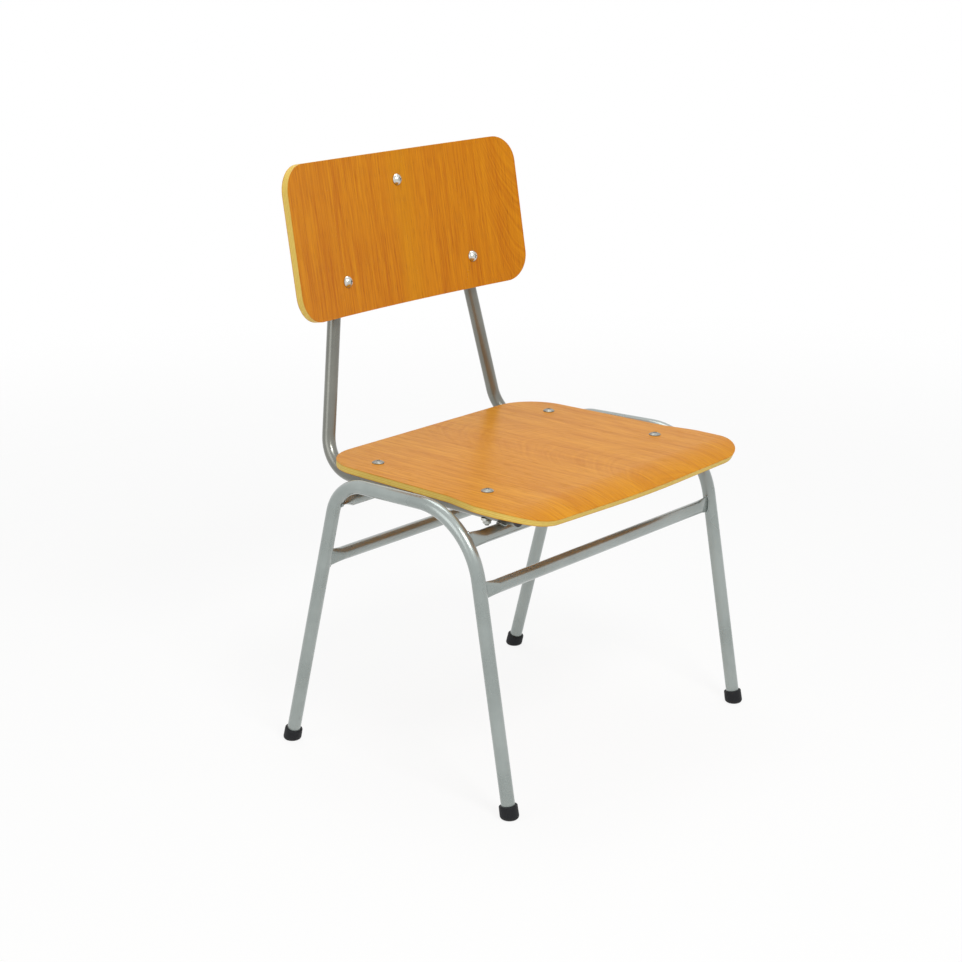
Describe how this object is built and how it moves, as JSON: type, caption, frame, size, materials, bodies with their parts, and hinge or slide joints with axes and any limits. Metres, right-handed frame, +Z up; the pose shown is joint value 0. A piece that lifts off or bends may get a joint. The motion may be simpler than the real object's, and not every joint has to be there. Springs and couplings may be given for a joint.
{
  "type": "school chair",
  "caption": "School chair with a bent steel tube frame, wood-grain board seat with a curled front edge, curved board backrest on a tube hoop, and rubber foot caps",
  "frame": {"origin": "on the floor under the middle of the chair", "axes": "+Z up, the sitter faces -Y, the sitter's right is -X"},
  "size_m": [0.5584, 0.4941, 0.8216],
  "materials": {
    "painted_tube": "glossy silver-grey paint",
    "wood_face": "satin lacquer over orange wood grain",
    "ply_edge": "clear lacquered ply edge",
    "rubber_foot": "matt black",
    "zinc_fastener": "bright zinc plate",
    "black_plastic": "moulded"
  },
  "bodies": {
    "root": {"side_frame_right": "painted_tube", "side_frame_left": "painted_tube", "back_hoop": "painted_tube", "front_crossbar": "painted_tube", "rear_crossbar": "painted_tube", "front_seat_bar": "painted_tube", "rear_seat_bar": "painted_tube", "seat_core": "ply_edge", "seat_face": "wood_face", "seat_backing": "wood_face", "backrest_core": "ply_edge", "backrest_face": "wood_face", "backrest_backing": "wood_face", "front_right_cap": "rubber_foot", "front_left_cap": "rubber_foot", "rear_right_cap": "rubber_foot", "rear_left_cap": "rubber_foot", "seat_screws": "zinc_fastener", "seat_washers": "zinc_fastener", "seat_nuts": "zinc_fastener", "seat_spacers": "black_plastic", "back_screws": "zinc_fastener", "back_washers": "zinc_fastener", "back_nuts": "zinc_fastener", "rail_plugs": "black_plastic"}
  },
  "joints": []
}
